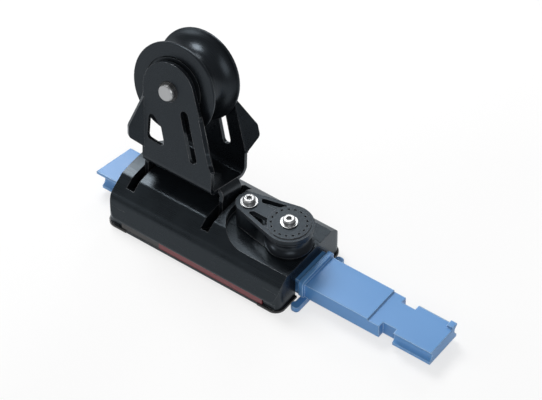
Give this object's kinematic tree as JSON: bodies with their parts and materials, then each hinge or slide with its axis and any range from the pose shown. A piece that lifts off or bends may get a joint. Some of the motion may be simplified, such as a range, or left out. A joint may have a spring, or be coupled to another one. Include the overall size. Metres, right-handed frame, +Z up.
{
  "type": "genoa lead car with pivoting sheave",
  "caption": "Track car with a domed extruded body on ball circuits, a pivoting stand-up sheave cage, a cheek block for the control line and a plastic loader rail in its channel.",
  "frame": {"origin": "middle of the car's length and width, level with the feet of its skirts", "axes": "+X along the track towards the control block, +Y across the track, +Z up"},
  "size_m": [0.2386, 0.0739, 0.1196],
  "materials": {
    "car_anodised": "black hard-anodised extrusion, satin",
    "cage_anodised": "black anodised folded sheet, satin",
    "sheave_anodised": "black anodised, turned",
    "cover_anodised": "black anodised, turned",
    "cheek_anodised": "black anodised, fine bead-blasted",
    "cap_plastic": "black moulded plastic",
    "ball_plastic": "off-white acetal",
    "bush_plastic": "dark moulded plastic",
    "label_red": "red strip with a black end",
    "stainless": "turned stainless steel",
    "clip_steel": "blackened spring steel",
    "loader_plastic": "blue moulded plastic, satin"
  },
  "bodies": {
    "car": {"car_body": "car_anodised", "end_cap_front_left": "cap_plastic", "end_cap_front_right": "cap_plastic", "end_cap_back_left": "cap_plastic", "end_cap_back_right": "cap_plastic", "bearing_balls_front": "ball_plastic", "bearing_balls_back": "ball_plastic", "label_strip_front": "label_red", "label_strip_back": "label_red", "pivot_pin": "stainless", "pivot_pin_screw": "stainless", "control_base": "cover_anodised", "control_post": "cheek_anodised", "control_cheek": "cheek_anodised", "control_race": "stainless", "control_balls": "ball_plastic", "control_axle_screw": "stainless", "control_head_screw": "stainless"},
    "loader": {"loader": "loader_plastic"},
    "cage": {"sheave_cage": "cage_anodised", "pivot_bushes_left": "bush_plastic", "pivot_bushes_right": "bush_plastic", "sheave_axle": "stainless", "axle_clip_front": "clip_steel", "axle_clip_back": "clip_steel", "sheave_race": "stainless", "sheave_rollers": "ball_plastic", "bearing_cover_front": "cover_anodised", "bearing_cover_back": "cover_anodised"},
    "main_sheave": {"main_sheave": "sheave_anodised"},
    "control_sheave": {"control_sheave": "sheave_anodised"}
  },
  "joints": [
    {"name": "loader_slide", "type": "slide", "parent": "car", "child": "loader", "axis": [1, 0, 0], "range_m": [-0.0015, 0.146]},
    {"name": "cage_pivot", "type": "hinge", "parent": "car", "child": "cage", "pos_m": [-0.02465, 0, 0.021], "axis": [1, 0, 0], "range_deg": [-24, 56]},
    {"name": "main_sheave_spin", "type": "hinge", "parent": "cage", "child": "main_sheave", "pos_m": [-0.03965, 0.01943, 0.08877], "axis": [0, 0.9613, -0.2756], "continuous": true},
    {"name": "control_sheave_spin", "type": "hinge", "parent": "car", "child": "control_sheave", "pos_m": [0.0473, 0, 0.03125], "axis": [0, 0, 1], "continuous": true}
  ]
}
